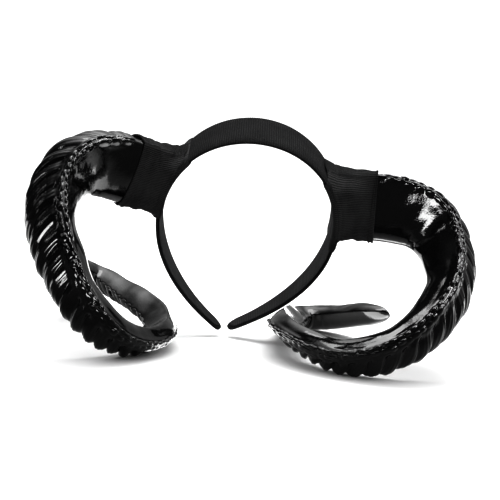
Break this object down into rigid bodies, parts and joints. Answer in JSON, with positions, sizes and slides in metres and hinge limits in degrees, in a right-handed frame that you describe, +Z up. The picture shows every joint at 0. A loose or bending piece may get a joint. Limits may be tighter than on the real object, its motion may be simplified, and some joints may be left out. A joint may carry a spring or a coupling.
{
  "type": "ram horns headband",
  "caption": "Cloth-covered headband hoop with curled, ribbed ram horns held at its sides in cloth wraps.",
  "frame": {"origin": "middle of the bounding box's base, on the surface the horns stand on", "axes": "+Z up from that surface, -Y towards the viewer and the front of the horns, +X towards horn_right; the hoop's crown leans towards -Y as the horns rest"},
  "size_m": [0.3102, 0.1969, 0.1674],
  "materials": {
    "band_cloth": "matte ribbed weave",
    "lining_cloth": "smooth matte",
    "wrap_cloth": "matte ribbed knit",
    "horn_black": "high gloss"
  },
  "bodies": {
    "root": {"headband": "band_cloth", "band_lining": "lining_cloth", "wrap_left": "wrap_cloth", "wrap_right": "wrap_cloth", "horn_left": "horn_black", "horn_right": "horn_black"}
  },
  "joints": []
}
